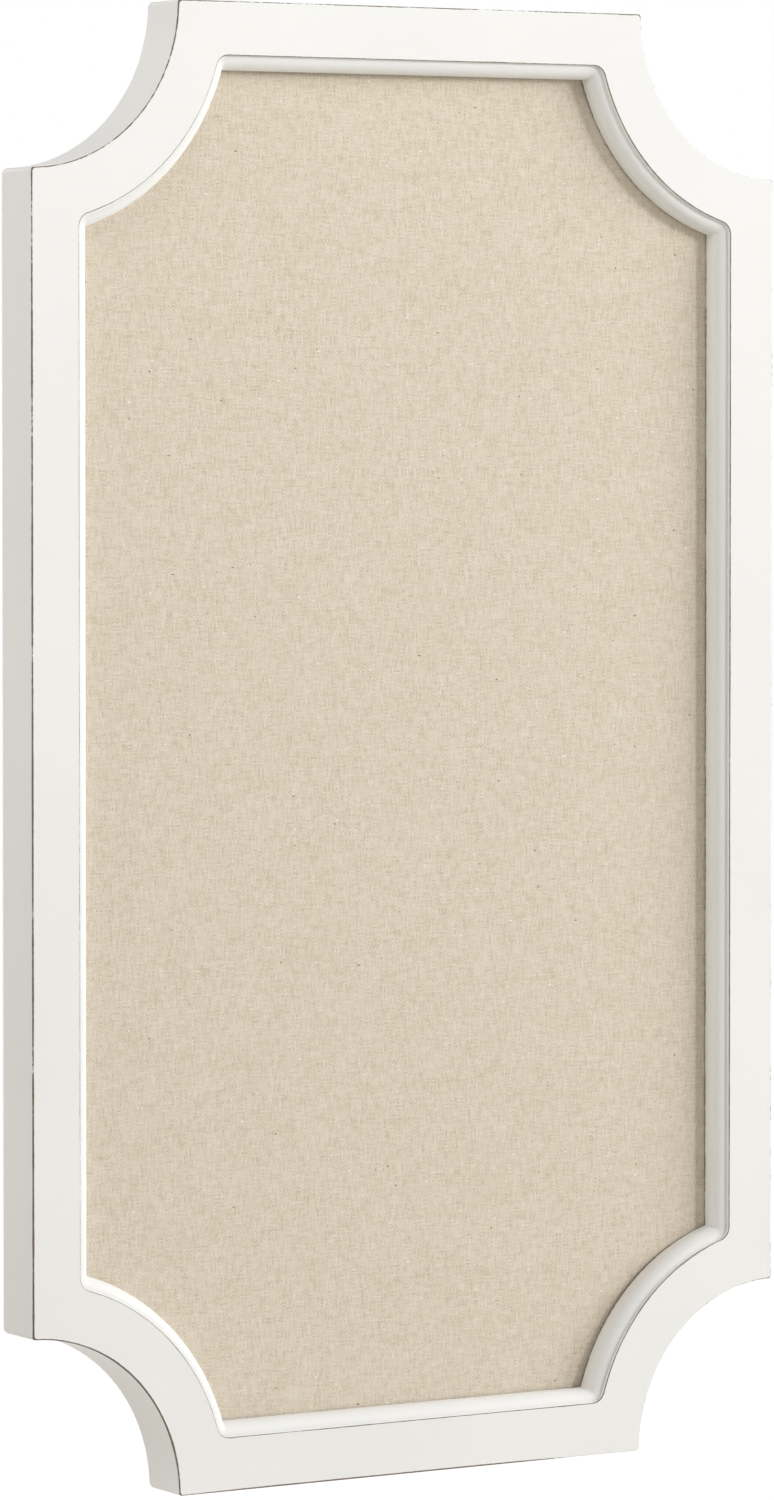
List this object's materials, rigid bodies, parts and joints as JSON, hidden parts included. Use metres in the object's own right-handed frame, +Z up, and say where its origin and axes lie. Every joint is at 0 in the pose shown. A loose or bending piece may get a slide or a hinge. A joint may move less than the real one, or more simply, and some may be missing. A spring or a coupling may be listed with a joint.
{
  "type": "pin board",
  "caption": "Tall wall-hung pin board: a moulded white wooden frame with scalloped corners round a recessed linen-covered panel, with hanging rings at the back.",
  "frame": {"origin": "on the wall plane, midway between the two hanging rings, at the height of their hinges", "axes": "+Z up along the board's height, +Y into the wall, +X to the right as seen from the front"},
  "size_m": [0.4572, 0.0375, 0.762],
  "materials": {
    "painted_wood": "white satin paint, rubbed through along the front arrises",
    "linen": "natural slubbed plain weave",
    "fibreboard": "soft low-density fibreboard",
    "hardboard": "smooth tempered hardboard",
    "beech": "turned hardwood",
    "zinc_steel": "bright zinc plating",
    "rubber": "grey, matt"
  },
  "bodies": {
    "board": {"top_rail": "painted_wood", "bottom_rail": "painted_wood", "left_stile": "painted_wood", "right_stile": "painted_wood", "corner_block_top_left": "painted_wood", "corner_block_top_right": "painted_wood", "corner_block_bottom_left": "painted_wood", "corner_block_bottom_right": "painted_wood", "dowel_top_left_rail_outer": "beech", "dowel_top_left_rail_inner": "beech", "dowel_top_left_stile_outer": "beech", "dowel_top_left_stile_inner": "beech", "dowel_top_right_rail_outer": "beech", "dowel_top_right_rail_inner": "beech", "dowel_top_right_stile_outer": "beech", "dowel_top_right_stile_inner": "beech", "dowel_bottom_left_rail_outer": "beech", "dowel_bottom_left_rail_inner": "beech", "dowel_bottom_left_stile_outer": "beech", "dowel_bottom_left_stile_inner": "beech", "dowel_bottom_right_rail_outer": "beech", "dowel_bottom_right_rail_inner": "beech", "dowel_bottom_right_stile_outer": "beech", "dowel_bottom_right_stile_inner": "beech", "linen_cover": "linen", "pin_core": "fibreboard", "backing_board": "hardboard", "retainer_point_top_rail_1": "zinc_steel", "retainer_point_top_rail_2": "zinc_steel", "retainer_point_bottom_rail_1": "zinc_steel", "retainer_point_bottom_rail_2": "zinc_steel", "retainer_point_left_stile_1": "zinc_steel", "retainer_point_left_stile_2": "zinc_steel", "retainer_point_left_stile_3": "zinc_steel", "retainer_point_right_stile_1": "zinc_steel", "retainer_point_right_stile_2": "zinc_steel", "retainer_point_right_stile_3": "zinc_steel", "retainer_point_corner_top_left": "zinc_steel", "retainer_point_corner_top_right": "zinc_steel", "retainer_point_corner_bottom_left": "zinc_steel", "retainer_point_corner_bottom_right": "zinc_steel", "hanger_strap_left": "zinc_steel", "hanger_strap_right": "zinc_steel", "hanger_screw_left_upper": "zinc_steel", "hanger_screw_left_lower": "zinc_steel", "hanger_screw_right_upper": "zinc_steel", "hanger_screw_right_lower": "zinc_steel", "wall_bumper_left": "rubber", "wall_bumper_right": "rubber"},
    "left_ring": {"hanger_ring_left": "zinc_steel"},
    "right_ring": {"hanger_ring_right": "zinc_steel"}
  },
  "joints": [
    {"name": "left_ring_hinge", "type": "hinge", "parent": "board", "child": "left_ring", "pos_m": [-0.2157, -0.00295, 0], "axis": [1, 0, 0], "range_deg": [0, 180]},
    {"name": "right_ring_hinge", "type": "hinge", "parent": "board", "child": "right_ring", "pos_m": [0.2157, -0.00295, 0], "axis": [1, 0, 0], "range_deg": [0, 180]}
  ]
}
